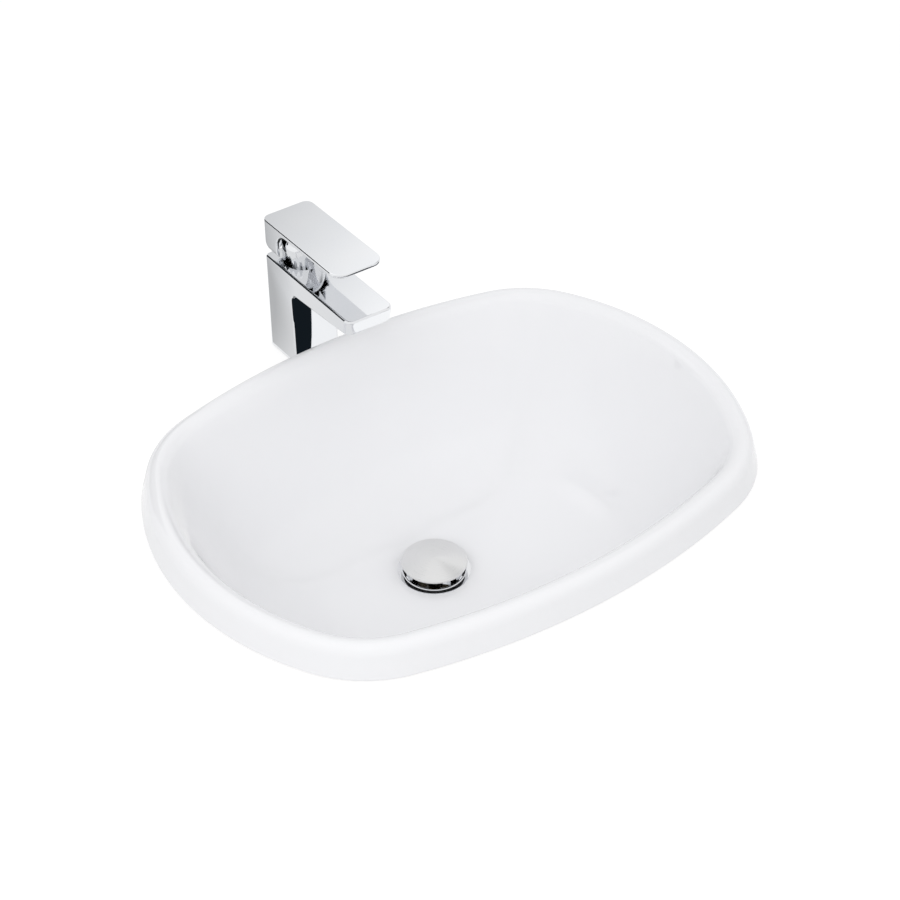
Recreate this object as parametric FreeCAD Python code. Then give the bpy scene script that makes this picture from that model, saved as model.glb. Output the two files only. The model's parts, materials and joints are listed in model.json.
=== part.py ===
import FreeCAD, Part
import os
from math import acos, asin, cos, degrees, hypot, pi, sin, sqrt

V = FreeCAD.Vector
UP = V(0, 0, 1)

# Basin. Millimetres, origin on the counter under the middle of the rim, tap side at +Y.
BASIN_LENGTH = 600.0
BASIN_WIDTH = 452.0
LONG_SIDE_RADIUS = 695.0
SHORT_SIDE_RADIUS = 279.0
CORNER_RADIUS = 124.0
RIM_HEIGHT = 32.0
RIM_LEAN = 8.0
RIM_OUTER_ROUND = 10.0
RIM_INNER_ROUND = 9.0
LIP_INSET = 29.0
BOWL_DEPTH = 178.5
BOWL_LEAN = 17.0
BOWL_ROUND = 70.0
DISH_RADIUS = 74.0
DISH_FALL = 4.0
CHINA_WALL = 12.0
DRAIN_Y = 31.0
RIM_SEAL_THICKNESS = 1.5
RIM_SEAL_INSET = 3.0
RIM_SEAL_WIDTH = 8.0

# Pop-up waste in the bowl's drain
WASTE_HOLE_RADIUS = 22.5
WASTE_THREAD_RADIUS = 20.95
WASTE_BORE_RADIUS = 17.5
WASTE_LENGTH = 78.0
THREAD_RELIEF_WIDTH = 2.0
THREAD_RELIEF_DEPTH = 0.8
FLANGE_RADIUS = 36.0
FLANGE_EDGE = 1.5
FLANGE_CROWN = 1.0
FLANGE_SINK = 2.5
RECESS_GAP = 1.0
THROAT_RADIUS = 29.0
THROAT_DEPTH = 16.0
UPPER_SEAL_THICKNESS = 2.0
DRAIN_BOSS_RADIUS = 40.0
DRAIN_BOSS_DEPTH = 20.0
LOWER_SEAL_THICKNESS = 8.0
LOWER_SEAL_RADIUS = 33.0
SLIP_WASHER_THICKNESS = 2.0
BACK_NUT_FLATS = 60.0
BACK_NUT_THICKNESS = 11.0
SPOKE_COUNT = 4
SPOKE_WIDTH = 4.0
SPOKE_HEIGHT = 5.0
HUB_RADIUS = 8.5
HUB_HEIGHT = 12.0
SLEEVE_RADIUS = 6.5
SLEEVE_LENGTH = 44.0
SLEEVE_HEAD = 3.0
SLEEVE_FLOOR = 2.0
STEM_RADIUS = 4.0
STEM_LENGTH = 46.0
CAP_RADIUS = 32.5
CAP_EDGE = 3.6
CAP_EDGE_BULGE = 0.9
CAP_CROWN = 3.4
CAP_OPEN_GAP = 7.0
CAP_BOSS_RADIUS = 9.0
CAP_BOSS_DEPTH = 7.0
PLUG_SEAL_HEIGHT = 4.0
PLUG_SEAL_INNER = 20.0
SPRING_WIRE = 0.9
SPRING_TURNS = 5

# Mixer tap behind the basin
TAP_GAP = 10.0
AXIS_FORWARD = 7.0
COLUMN_WIDTH = 54.0
COLUMN_DEPTH = 48.0
BODY_TOP = 112.0
BODY_REAR_ROUND = 5.0
BODY_EDGE_ROUND = 2.4
SPOUT_LENGTH = 152.0
SPOUT_FALL = 1.0
SPOUT_TIP_THICKNESS = 16.5
SPOUT_ROOT_THICKNESS = 24.0
SPOUT_FACE_LEAN = 2.0
SPOUT_TIP_ROUND = 9.0
SPOUT_ARCH = 8.0
BASE_GASKET_THICKNESS = 1.5
BASE_GASKET_INSET = 1.0

# Lever on top of the tap
LEVER_LENGTH = 136.0
LEVER_WIDTH = 57.0
LEVER_PLATE = 5.0
LEVER_TIP = 3.6
LEVER_FRONT_ROUND = 14.0
LEVER_REAR_ROUND = 9.0
LEVER_EDGE_ROUND = 1.2
HEEL_GAP = 7.0
HEEL_HEIGHT = 37.0
HEEL_DEPTH = 27.0
HEEL_REAR_ROUND = 12.0
HEEL_ARCH = 17.0
HEEL_SWING_GAP = 4.5
BOSS_RADIUS = 7.5
BOSS_LENGTH = 7.0
GRUB_RADIUS = 2.5
GRUB_LENGTH = 3.6

# Ceramic-disc cartridge under the dome
POCKET_DEPTH = 8.0
CARTRIDGE_RADIUS = 16.2
CARTRIDGE_WALL = 1.2
CARTRIDGE_NECK_RADIUS = 10.5
CARTRIDGE_NECK_WALL = 1.0
CARTRIDGE_NECK_HEIGHT = 11.0
CARTRIDGE_SEAL_THICKNESS = 1.5
FIXED_DISC_THICKNESS = 3.5
MOVING_DISC_THICKNESS = 3.0
MOVING_DISC_RADIUS = 10.0
PORT_RADIUS = 2.2
PORT_CIRCLE = 7.0
PORT_COUNT = 3
CARRIER_HEIGHT = 8.0
DRIVER_RISE = 1.5
DRIVER_FLANGE = 1.8
PIVOT_RISE = 6.5
FOOT_ARM = 10.0
FOOT_RADIUS = 2.5
SPINDLE_NECK_RADIUS = 1.6
SPINDLE_SIDE = 7.0
SPINDLE_GRIP = 9.5
PIN_RADIUS = 1.5
COLLAR_WALL = 2.4
COLLAR_NUT_THICKNESS = 5.0
DOME_WALL = 1.8
DOME_OPENING = 14.6
DOME_RISE = 3.5

# Aerator under the spout's tip
AERATOR_SETBACK = 22.0
AERATOR_RADIUS = 11.5
AERATOR_WALL = 1.8
AERATOR_DROP = 5.0
AERATOR_SOCKET = 10.0
AERATOR_INSERT_HEIGHT = 8.0
AERATOR_RECESS = 1.5
AERATOR_HOLE_RADIUS = 0.9
AERATOR_HOLE_PITCH = 3.4
AERATOR_WASHER_THICKNESS = 1.5

# Tap fixings under the counter
COUNTER_THICKNESS = 30.0
TAIL_RADIUS = 16.0
TAIL_HEIGHT = 23.0
INLET_RADIUS = 4.5
INLET_DEPTH = 14.0
INLET_SPACING = 15.0
INLET_FORWARD = 7.0
STUD_RADIUS = 3.9
STUD_GRIP = 12.0
STUD_LENGTH = 74.0
STUD_REARWARD = 9.0
SHOE_RADIUS = 23.0
SHOE_SLOT_WIDTH = 27.0
SHOE_LAND = 2.5
SHOE_PAD_THICKNESS = 3.0
SHOE_PLATE_THICKNESS = 2.5
STUD_NUT_FLATS = 13.0
STUD_NUT_THICKNESS = 6.5

# Clearances
SLIP = 0.3
THREAD = 0.1
PIN_FIT = 0.05
SEAT = 0.4

# Levels and places that follow from the sizes above
RIM_BASE = RIM_SEAL_THICKNESS
DRAIN_FLOOR = RIM_HEIGHT - BOWL_DEPTH
BOWL_FLOOR = DRAIN_FLOOR + DISH_FALL
DRAIN_RECESS = DRAIN_FLOOR - FLANGE_SINK
FLANGE_UNDER = DRAIN_RECESS + UPPER_SEAL_THICKNESS
FLANGE_TOP = FLANGE_UNDER + FLANGE_EDGE + FLANGE_CROWN
DRAIN_UNDER = DRAIN_RECESS - DRAIN_BOSS_DEPTH
LOWER_SEAL_BASE = DRAIN_UNDER - LOWER_SEAL_THICKNESS
SLIP_WASHER_BASE = LOWER_SEAL_BASE - SLIP_WASHER_THICKNESS
BACK_NUT_BASE = SLIP_WASHER_BASE - BACK_NUT_THICKNESS
RECESS_RADIUS = FLANGE_RADIUS + RECESS_GAP
CAP_UNDER = FLANGE_TOP + CAP_OPEN_GAP
STEM_BOTTOM = CAP_UNDER - STEM_LENGTH
THROAT_SLOPE = (THROAT_RADIUS - WASTE_BORE_RADIUS) / THROAT_DEPTH
THROAT_BASE = FLANGE_TOP - THROAT_DEPTH
HUB_TOP = THROAT_BASE
SLEEVE_TOP = HUB_TOP + SLEEVE_HEAD
SLEEVE_BOTTOM = HUB_TOP - SLEEVE_LENGTH
CUP_RADIUS = WASTE_THREAD_RADIUS + THROAT_SLOPE * (FLANGE_UNDER - THROAT_BASE)
SINK_RADIUS = CUP_RADIUS - THROAT_SLOPE * UPPER_SEAL_THICKNESS + RECESS_GAP
SINK_BASE = DRAIN_RECESS - (SINK_RADIUS - WASTE_HOLE_RADIUS) / THROAT_SLOPE

TAP_Y = BASIN_WIDTH / 2 + TAP_GAP + COLUMN_DEPTH / 2
LEVER_Y = TAP_Y - AXIS_FORWARD
COLUMN_REAR = TAP_Y + COLUMN_DEPTH / 2
COLUMN_FRONT = TAP_Y - COLUMN_DEPTH / 2
SPOUT_TIP = COLUMN_REAR - SPOUT_LENGTH
BODY_BASE = BASE_GASKET_THICKNESS
SPOUT_TIP_UNDER = BODY_TOP - SPOUT_FALL - SPOUT_TIP_THICKNESS
SPOUT_ROOT_UNDER = BODY_TOP - SPOUT_ROOT_THICKNESS - SPOUT_FALL * COLUMN_DEPTH / SPOUT_LENGTH
AERATOR_CEILING = SPOUT_TIP_UNDER + AERATOR_SOCKET

POCKET_FLOOR = BODY_TOP - POCKET_DEPTH
FIXED_DISC_BASE = POCKET_FLOOR + CARTRIDGE_SEAL_THICKNESS
MOVING_DISC_BASE = FIXED_DISC_BASE + FIXED_DISC_THICKNESS
CARRIER_BASE = MOVING_DISC_BASE + MOVING_DISC_THICKNESS
CARRIER_TOP = CARRIER_BASE + CARRIER_HEIGHT
DRIVER_BASE = CARRIER_TOP + DRIVER_RISE
DRIVER_SHOULDER = DRIVER_BASE + DRIVER_FLANGE
CARTRIDGE_SHOULDER = DRIVER_SHOULDER + SLIP + CARTRIDGE_NECK_WALL
CARTRIDGE_TOP = CARTRIDGE_SHOULDER + CARTRIDGE_NECK_HEIGHT
COLLAR_TOP = CARTRIDGE_SHOULDER + COLLAR_NUT_THICKNESS - SLIP
PIVOT_Z = DRIVER_BASE + PIVOT_RISE
FOOT_Z = PIVOT_Z - FOOT_ARM
CARTRIDGE_CAVITY = CARTRIDGE_RADIUS - CARTRIDGE_WALL
DRIVER_RADIUS = CARTRIDGE_NECK_RADIUS - CARTRIDGE_NECK_WALL - SLIP
COLLAR_BORE = CARTRIDGE_RADIUS + SLIP
COLLAR_RADIUS = COLLAR_BORE + COLLAR_WALL
DOME_BORE = COLLAR_RADIUS + SLIP
DOME_RADIUS = DOME_BORE + DOME_WALL
DOME_Z = PIVOT_Z + DOME_RISE

HEEL_BOTTOM = BODY_TOP + HEEL_GAP
LEVER_TOP = HEEL_BOTTOM + HEEL_HEIGHT
LEVER_UNDER = LEVER_TOP - LEVER_PLATE
SPINDLE_TOP = LEVER_UNDER - BOSS_LENGTH + SPINDLE_GRIP


def axis_at(y):
    """Ground point of the upright axis that stands at y on the basin's middle line."""
    return V(0, y, 0)


def cylinder(radius, low, high, place):
    """Upright round bar between two levels."""
    return Part.makeCylinder(radius, high - low, place + UP * low)


def ring(outer, inner, low, high, place):
    """Upright tube between two levels."""
    return cylinder(outer, low, high, place).cut(cylinder(inner, low, high, place))


def turned(profile, place):
    """Solid turned about an upright axis from (radius, level) corners.

    A corner that carries a second pair starts an arc through that second point.
    """
    corners = [place + V(corner[0], 0, corner[1]) for corner in profile]
    edges = []
    for k, corner in enumerate(profile):
        end = corners[(k + 1) % len(corners)]
        if len(corner) == 4:
            through = place + V(corner[2], 0, corner[3])
            edges.append(Part.Arc(corners[k], through, end).toShape())
        else:
            edges.append(Part.makeLine(corners[k], end))
    return Part.Face(Part.Wire(edges)).revolve(place, UP, 360)


def hexagon(flats, low, high, place):
    """Upright hexagonal prism, measured across its flats."""
    reach = flats / sqrt(3)
    corners = [place + V(reach * cos(k * pi / 3), reach * sin(k * pi / 3), low) for k in range(7)]
    return Part.Face(Part.makePolygon(corners)).extrude(UP * (high - low))


def block(width, low_y, high_y, low, high):
    """Box centred on the basin's middle line."""
    return Part.makeBox(width, high_y - low_y, high - low, V(-width / 2, low_y, low))


def side_slab(profile, width):
    """Slab of a side view given as (y, z) corners, centred on the basin's middle line."""
    corners = [V(-width / 2, y, z) for y, z in profile]
    face = Part.Face(Part.makePolygon(corners + corners[:1]))
    return face.extrude(V(width, 0, 0))


def edge_along_x(solid, y, z):
    """The edge that runs across the slab through (y, z)."""
    for edge in solid.Edges:
        middle = edge.CenterOfMass
        if hypot(middle.y - y, middle.z - z) < SLIP and abs(middle.x) < SLIP:
            return edge


def sharp_edges(solid, least=20.0):
    """Edges where two faces meet at a corner and don't flow into each other."""
    picked = []
    for edge in solid.Edges:
        middle = edge.valueAt((edge.FirstParameter + edge.LastParameter) / 2)
        normals = []
        for face in solid.ancestorsOfType(edge, Part.Face):
            normals.append(face.normalAt(*face.Surface.parameter(middle)))
        if len(normals) == 2 and degrees(normals[0].getAngle(normals[1])) > least:
            picked.append(edge)
    return picked


def round_uprights(solid, y, radius):
    """Round the two upright edges that a slab has at y."""
    half = solid.BoundBox.XMax
    edges = []
    for edge in solid.Edges:
        middle = edge.CenterOfMass
        on_side = abs(abs(middle.x) - half) < SLIP and abs(middle.y - y) < SLIP
        if on_side and edge.BoundBox.ZLength > edge.BoundBox.YLength:
            edges.append(edge)
    return solid.makeFillet(radius, edges)


def arc(centre, radius, start, end):
    """Arc about a centre between two directions, the short way round."""
    first = (start - centre).normalize()
    last = (end - centre).normalize()
    middle = (first + last).normalize()
    return Part.Arc(centre + first * radius, centre + middle * radius, centre + last * radius).toShape()


def rim_outline(inset, level):
    """Rim outline of eight tangent arcs at a level, moved in by an inset."""
    half_x = BASIN_LENGTH / 2 - inset
    half_y = BASIN_WIDTH / 2 - inset
    long_r = LONG_SIDE_RADIUS - inset
    short_r = SHORT_SIDE_RADIUS - inset
    corner_r = CORNER_RADIUS - inset
    long_centre = V(0, half_y - long_r, 0)
    short_centre = V(half_x - short_r, 0, 0)
    between = short_centre - long_centre
    gap = between.Length
    along = ((long_r - corner_r) ** 2 - (short_r - corner_r) ** 2 + gap ** 2) / (2 * gap)
    aside = sqrt((long_r - corner_r) ** 2 - along ** 2)
    between.normalize()
    corner = long_centre + between * along + V(between.y, -between.x, 0) * aside
    on_long = long_centre + (corner - long_centre).normalize() * long_r
    on_short = short_centre + (corner - short_centre).normalize() * short_r

    def place(point, turn_x, turn_y):
        return V(point.x * turn_x, point.y * turn_y, level)

    edges = []
    for turn_x, turn_y in ((1, 1), (-1, 1), (-1, -1), (1, -1)):
        ends = [place(on_short, turn_x, turn_y), place(on_long, turn_x, turn_y)]
        side = [place(on_long, turn_x, turn_y), place(on_long, -turn_x, turn_y)]
        side_centre, side_radius = place(long_centre, 1, turn_y), long_r
        if turn_x != turn_y:
            ends.reverse()
            side = [place(on_short, turn_x, turn_y), place(on_short, turn_x, -turn_y)]
            side_centre, side_radius = place(short_centre, turn_x, 1), short_r
        edges.append(arc(place(corner, turn_x, turn_y), corner_r, *ends))
        edges.append(arc(side_centre, side_radius, *side))
    return Part.Wire(edges)


def bowl(grow):
    """Bowl-shaped solid from the crest to the floor, its wall moved out by grow."""
    low = BOWL_FLOOR - grow
    mouth = rim_outline(LIP_INSET - grow, RIM_HEIGHT)
    foot = rim_outline(LIP_INSET + BOWL_LEAN - grow, low)
    solid = Part.makeLoft([mouth, foot], True, True)
    base = [edge for edge in solid.Edges if edge.BoundBox.ZMax < low + SLIP]
    corner_room = CORNER_RADIUS - LIP_INSET - BOWL_LEAN - SEAT
    return solid.makeFillet(min(BOWL_ROUND, corner_room) + grow, base)


def crest_wires(china):
    """Outer and inner edges of the flat crest."""
    for face in china.Faces:
        if face.BoundBox.ZMin > RIM_HEIGHT - SLIP:
            outer = face.OuterWire
            inner = [wire for wire in face.Wires if not wire.isSame(outer)]
            return outer, inner[0]


def ceramic_basin():
    """Rim, bowl and drain boss in one casting of vitreous china."""
    drain = axis_at(DRAIN_Y)
    rim = Part.makeLoft([rim_outline(0, RIM_BASE), rim_outline(RIM_LEAN, RIM_HEIGHT)], True, True)
    boss = cylinder(DRAIN_BOSS_RADIUS, DRAIN_UNDER, BOWL_FLOOR, drain)
    china = rim.fuse(bowl(CHINA_WALL)).fuse(boss).removeSplitter()
    dish = [(0, DRAIN_FLOOR), (RECESS_RADIUS, DRAIN_FLOOR), (DISH_RADIUS, BOWL_FLOOR), (0, BOWL_FLOOR)]
    hollow = bowl(0).fuse(turned(dish, drain))
    hollow = hollow.fuse(cylinder(RECESS_RADIUS, DRAIN_RECESS, BOWL_FLOOR, drain))
    sink = [(0, SINK_BASE), (WASTE_HOLE_RADIUS, SINK_BASE), (SINK_RADIUS, DRAIN_RECESS), (0, DRAIN_RECESS)]
    hollow = hollow.fuse(turned(sink, drain))
    hollow = hollow.fuse(cylinder(WASTE_HOLE_RADIUS, DRAIN_UNDER, BOWL_FLOOR, drain))
    china = china.cut(hollow)
    china = china.makeFillet(RIM_OUTER_ROUND, crest_wires(china)[0].Edges)
    return china.makeFillet(RIM_INNER_ROUND, crest_wires(china)[1].Edges)


def rim_seal():
    """Bedding strip between the rim and the counter."""
    outside = Part.Face(rim_outline(RIM_SEAL_INSET, 0))
    inside = Part.Face(rim_outline(RIM_SEAL_INSET + RIM_SEAL_WIDTH, 0))
    return outside.cut(inside).extrude(UP * RIM_SEAL_THICKNESS)


def waste_body():
    """Flange, cup and threaded tail of the pop-up waste."""
    low = FLANGE_TOP - WASTE_LENGTH
    relief_radius = WASTE_THREAD_RADIUS - THREAD_RELIEF_DEPTH
    return turned([
        (WASTE_BORE_RADIUS, low),
        (WASTE_THREAD_RADIUS, low),
        (WASTE_THREAD_RADIUS, BACK_NUT_BASE - THREAD_RELIEF_WIDTH),
        (relief_radius, BACK_NUT_BASE - THREAD_RELIEF_WIDTH),
        (relief_radius, BACK_NUT_BASE),
        (WASTE_THREAD_RADIUS, BACK_NUT_BASE),
        (WASTE_THREAD_RADIUS, THROAT_BASE),
        (CUP_RADIUS, FLANGE_UNDER),
        (FLANGE_RADIUS, FLANGE_UNDER),
        (FLANGE_RADIUS, FLANGE_UNDER + FLANGE_EDGE),
        (THROAT_RADIUS, FLANGE_TOP),
        (WASTE_BORE_RADIUS, THROAT_BASE),
    ], axis_at(DRAIN_Y))


def waste_spider():
    """Spoked cross in the waste's bore with a screwed hub for the guide."""
    drain = axis_at(DRAIN_Y)
    low = HUB_TOP - HUB_HEIGHT
    spider = cylinder(HUB_RADIUS, low, HUB_TOP, drain)
    for k in range(SPOKE_COUNT):
        spoke = Part.makeBox(WASTE_BORE_RADIUS, SPOKE_WIDTH, SPOKE_HEIGHT, V(0, -SPOKE_WIDTH / 2, 0))
        spoke.rotate(V(0, 0, 0), UP, 360 * (k + 0.5) / SPOKE_COUNT)
        spoke.translate(drain + UP * low)
        spider = spider.fuse(spoke)
    spider = spider.removeSplitter().common(cylinder(WASTE_BORE_RADIUS - PIN_FIT, low, HUB_TOP, drain))
    return spider.cut(cylinder(SLEEVE_RADIUS + THREAD, low, HUB_TOP, drain))


def waste_seals():
    """Washers and nut that clamp the waste to the drain boss, from the flange down."""
    drain = axis_at(DRAIN_Y)
    bore = WASTE_THREAD_RADIUS + SLIP
    foot = LOWER_SEAL_RADIUS - LOWER_SEAL_THICKNESS / 2
    nut = hexagon(BACK_NUT_FLATS, BACK_NUT_BASE, SLIP_WASHER_BASE, drain)
    nut_thread = cylinder(WASTE_THREAD_RADIUS + THREAD, BACK_NUT_BASE, SLIP_WASHER_BASE, drain)
    return {
        "waste_upper_seal": ring(FLANGE_RADIUS - SEAT, CUP_RADIUS + SLIP, DRAIN_RECESS, FLANGE_UNDER, drain),
        "waste_lower_seal": turned([
            (bore, LOWER_SEAL_BASE),
            (foot, LOWER_SEAL_BASE),
            (LOWER_SEAL_RADIUS, DRAIN_UNDER),
            (bore, DRAIN_UNDER),
        ], drain),
        "waste_slip_washer": ring(foot, bore, SLIP_WASHER_BASE, LOWER_SEAL_BASE, drain),
        "waste_back_nut": nut.cut(nut_thread),
    }


def click_sleeve():
    """Screwed guide in the spider that holds the stem, the latch and the spring."""
    drain = axis_at(DRAIN_Y)
    head = hexagon(2 * HUB_RADIUS - SEAT, HUB_TOP, SLEEVE_TOP, drain)
    body = cylinder(SLEEVE_RADIUS, SLEEVE_BOTTOM, HUB_TOP, drain).fuse(head).removeSplitter()
    return body.cut(cylinder(STEM_RADIUS + PIN_FIT, SLEEVE_BOTTOM + SLEEVE_FLOOR, SLEEVE_TOP, drain))


def return_spring():
    """Coil spring that lifts the stem off the sleeve's floor."""
    low = SLEEVE_BOTTOM + SLEEVE_FLOOR + SPRING_WIRE / 2
    high = STEM_BOTTOM - SPRING_WIRE / 2
    radius = STEM_RADIUS - SPRING_WIRE
    helix = Part.makeHelix((high - low) / SPRING_TURNS, high - low, radius)
    half = SPRING_WIRE / 2
    corners = [V(radius + x, 0, z) for x, z in ((-half, -half), (half, -half), (half, half), (-half, half))]
    section = Part.makePolygon(corners + corners[:1])
    coil = Part.Wire(helix.Edges).makePipeShell([section], True, True)
    coil.translate(axis_at(DRAIN_Y) + UP * low)
    return coil


def plug_cap():
    """Domed cap with a boss below for the stem."""
    drain = axis_at(DRAIN_Y)
    edge_top = CAP_UNDER + CAP_EDGE
    crown = edge_top + CAP_CROWN
    flat = CAP_RADIUS - CAP_EDGE_BULGE
    sphere = (flat ** 2 + CAP_CROWN ** 2) / (2 * CAP_CROWN)
    half_turn = asin(flat / sphere) / 2
    boss_low = CAP_UNDER - CAP_BOSS_DEPTH
    hole = STEM_RADIUS + THREAD
    return turned([
        (0, CAP_UNDER),
        (0, crown, sphere * sin(half_turn), crown - sphere * (1 - cos(half_turn))),
        (flat, edge_top, CAP_RADIUS, CAP_UNDER + CAP_EDGE / 2),
        (flat, CAP_UNDER),
        (CAP_BOSS_RADIUS, CAP_UNDER),
        (CAP_BOSS_RADIUS, boss_low),
        (hole, boss_low),
        (hole, CAP_UNDER),
    ], drain)


def plug_seal():
    """Tapered rubber ring that closes the throat when the cap is down."""
    wide = THROAT_RADIUS - SEAT
    low = CAP_UNDER - PLUG_SEAL_HEIGHT
    narrow = wide - PLUG_SEAL_HEIGHT * THROAT_SLOPE
    inner = PLUG_SEAL_INNER
    return turned([(inner, low), (narrow, low), (wide, CAP_UNDER), (inner, CAP_UNDER)], axis_at(DRAIN_Y))


def plug_stem():
    """Rod that hangs from the cap into the sleeve."""
    return cylinder(STEM_RADIUS, STEM_BOTTOM, CAP_UNDER, axis_at(DRAIN_Y))


def spout_under(y):
    """Level of the spout's underside at a distance along it."""
    tip = SPOUT_TIP + SPOUT_FACE_LEAN
    share = (y - tip) / (COLUMN_FRONT - tip)
    return SPOUT_TIP_UNDER + share * (SPOUT_ROOT_UNDER - SPOUT_TIP_UNDER)


def tap_body():
    """Column and spout in one casting, with the cartridge pocket, aerator socket and foot socket."""
    axis = axis_at(LEVER_Y)
    body = side_slab([
        (COLUMN_REAR, BODY_BASE),
        (COLUMN_REAR, BODY_TOP),
        (SPOUT_TIP, BODY_TOP - SPOUT_FALL),
        (SPOUT_TIP + SPOUT_FACE_LEAN, SPOUT_TIP_UNDER),
        (COLUMN_FRONT, SPOUT_ROOT_UNDER),
        (COLUMN_FRONT, BODY_BASE),
    ], COLUMN_WIDTH)
    body = body.makeFillet(SPOUT_ARCH, [edge_along_x(body, COLUMN_FRONT, SPOUT_ROOT_UNDER)])
    body = round_uprights(body, SPOUT_TIP + SPOUT_FACE_LEAN / 2, SPOUT_TIP_ROUND)
    body = round_uprights(body, COLUMN_REAR, BODY_REAR_ROUND)
    edges = [edge for edge in sharp_edges(body) if edge.BoundBox.ZMax > BODY_BASE + SLIP]
    body = body.makeFillet(BODY_EDGE_ROUND, edges)
    body = body.fuse(cylinder(COLLAR_RADIUS, POCKET_FLOOR, COLLAR_TOP, axis)).removeSplitter()
    body = body.cut(cylinder(COLLAR_BORE, POCKET_FLOOR, COLLAR_TOP, axis))
    outlet = axis_at(SPOUT_TIP + AERATOR_SETBACK)
    socket_low = spout_under(outlet.y) - AERATOR_RADIUS
    body = body.cut(cylinder(AERATOR_RADIUS + THREAD, socket_low, AERATOR_CEILING, outlet))
    foot = axis_at(TAP_Y)
    return body.cut(cylinder(TAIL_RADIUS + SLIP, BODY_BASE, BODY_BASE + TAIL_HEIGHT + SLIP, foot))


def base_gasket():
    """Rubber ring under the tap's foot."""
    inset = BASE_GASKET_INSET
    front = COLUMN_FRONT + inset
    rear = COLUMN_REAR - inset
    pad = block(COLUMN_WIDTH - 2 * inset, front, rear, 0, BODY_BASE)
    for y in (front, rear):
        pad = round_uprights(pad, y, BODY_REAR_ROUND - inset)
    return pad.cut(cylinder(TAIL_RADIUS + SLIP, 0, BODY_BASE, axis_at(TAP_Y)))


def tail_block():
    """Brass block in the tap's foot with two hose inlets and the stud's thread."""
    axis = axis_at(TAP_Y)
    tail = cylinder(TAIL_RADIUS, BODY_BASE, BODY_BASE + TAIL_HEIGHT, axis)
    for side in (-1, 1):
        inlet = axis + V(side * INLET_SPACING / 2, -INLET_FORWARD, 0)
        tail = tail.cut(cylinder(INLET_RADIUS, BODY_BASE, BODY_BASE + INLET_DEPTH, inlet))
    return tail.cut(cylinder(STUD_RADIUS + THREAD, BODY_BASE, BODY_BASE + STUD_GRIP, stud_axis()))


def stud_axis():
    return axis_at(TAP_Y + STUD_REARWARD)


def shoe(low, thickness):
    """Horseshoe plate round the hoses, hung on the stud."""
    axis = axis_at(TAP_Y)
    plate = cylinder(SHOE_RADIUS, low, low + thickness, axis)
    slot_radius = SHOE_SLOT_WIDTH / 2
    slot_end = axis_at(TAP_Y + STUD_REARWARD - STUD_RADIUS - SHOE_LAND - slot_radius)
    plate = plate.cut(cylinder(slot_radius, low, low + thickness, slot_end))
    plate = plate.cut(block(SHOE_SLOT_WIDTH, TAP_Y - 2 * SHOE_RADIUS, slot_end.y, low, low + thickness))
    return plate.cut(cylinder(STUD_RADIUS + SLIP, low, low + thickness, stud_axis()))


def tap_fixings():
    """Stud, horseshoe pad, horseshoe plate and nut that hold the tap to the counter."""
    stud_high = BODY_BASE + STUD_GRIP
    pad_low = -COUNTER_THICKNESS - SHOE_PAD_THICKNESS
    plate_low = pad_low - SHOE_PLATE_THICKNESS
    nut_low = plate_low - STUD_NUT_THICKNESS
    nut = hexagon(STUD_NUT_FLATS, nut_low, plate_low, stud_axis())
    return {
        "fixing_stud": cylinder(STUD_RADIUS, stud_high - STUD_LENGTH, stud_high, stud_axis()),
        "horseshoe_pad": shoe(pad_low, SHOE_PAD_THICKNESS),
        "horseshoe_plate": shoe(plate_low, SHOE_PLATE_THICKNESS),
        "fixing_nut": nut.cut(cylinder(STUD_RADIUS + THREAD, nut_low, plate_low, stud_axis())),
    }


def aerator_housing():
    """Screwed ring under the spout that holds the aerator."""
    outlet = axis_at(SPOUT_TIP + AERATOR_SETBACK)
    low = spout_under(outlet.y) - AERATOR_DROP
    high = AERATOR_CEILING - AERATOR_WASHER_THICKNESS
    bevel = AERATOR_WALL / 3
    bore = AERATOR_RADIUS - AERATOR_WALL
    return turned([
        (bore, low),
        (AERATOR_RADIUS - bevel, low),
        (AERATOR_RADIUS, low + bevel),
        (AERATOR_RADIUS, high),
        (bore, high),
    ], outlet)


def aerator_insert():
    """Plastic jet straightener with a field of round holes."""
    outlet = axis_at(SPOUT_TIP + AERATOR_SETBACK)
    low = spout_under(outlet.y) - AERATOR_DROP + AERATOR_RECESS
    radius = AERATOR_RADIUS - AERATOR_WALL - THREAD
    insert = cylinder(radius, low, low + AERATOR_INSERT_HEIGHT, outlet)
    rows = int(radius / AERATOR_HOLE_PITCH)
    holes = []
    for row in range(-rows, rows + 1):
        for column in range(-rows, rows + 1):
            x = (column + row / 2) * AERATOR_HOLE_PITCH
            y = row * AERATOR_HOLE_PITCH * sqrt(3) / 2
            if hypot(x, y) < radius - 2 * AERATOR_HOLE_RADIUS:
                spot = outlet + V(x, y, 0)
                holes.append(cylinder(AERATOR_HOLE_RADIUS, low, low + AERATOR_INSERT_HEIGHT, spot))
    return insert.cut(holes)


def aerator_washer():
    """Rubber ring between the aerator and the spout."""
    outlet = axis_at(SPOUT_TIP + AERATOR_SETBACK)
    low = AERATOR_CEILING - AERATOR_WASHER_THICKNESS
    return ring(AERATOR_RADIUS - THREAD, AERATOR_RADIUS - 2 * AERATOR_WALL, low, AERATOR_CEILING, outlet)


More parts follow.
